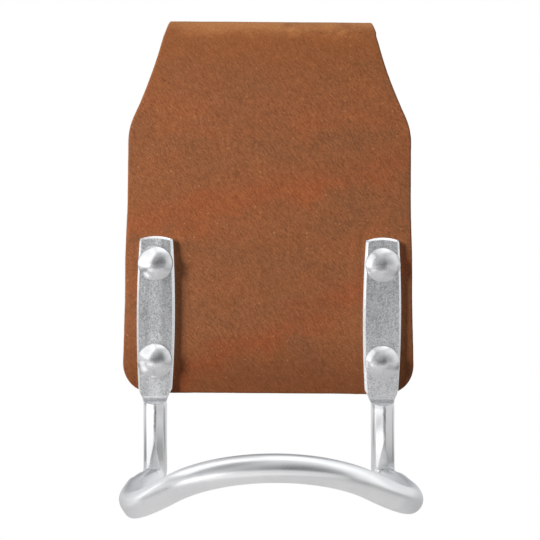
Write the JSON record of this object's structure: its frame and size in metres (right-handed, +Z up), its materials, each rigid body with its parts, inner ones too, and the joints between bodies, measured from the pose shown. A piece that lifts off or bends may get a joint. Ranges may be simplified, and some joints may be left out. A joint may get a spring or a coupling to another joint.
{
  "type": "belt hammer holder",
  "caption": "Folded leather belt holder for a hammer, with a bent steel rod loop whose flattened ends are held by dome-head rivets through both leather plies.",
  "frame": {"origin": "middle of the flat back face that bears on the wearer's hip, on the centre plane", "axes": "+Z up towards the fold, +Y backwards out of the back face towards the wearer, +X across the belt; the steel loop stands out towards -Y"},
  "size_m": [0.0812, 0.0827, 0.1327],
  "materials": {
    "leather": "oiled pull-up full grain outside, rough flesh side inside, burnished cut edge",
    "plated_steel": "satin plated bent rod, pressed pads",
    "rivet_steel": "satin plated dome head",
    "washer_steel": "plain plated washer"
  },
  "bodies": {
    "root": {"leather_body": "leather", "steel_loop": "plated_steel", "rivet_upper_left": "rivet_steel", "rivet_upper_right": "rivet_steel", "rivet_lower_left": "rivet_steel", "rivet_lower_right": "rivet_steel", "burr_upper_left": "washer_steel", "burr_upper_right": "washer_steel", "burr_lower_left": "washer_steel", "burr_lower_right": "washer_steel"}
  },
  "joints": []
}
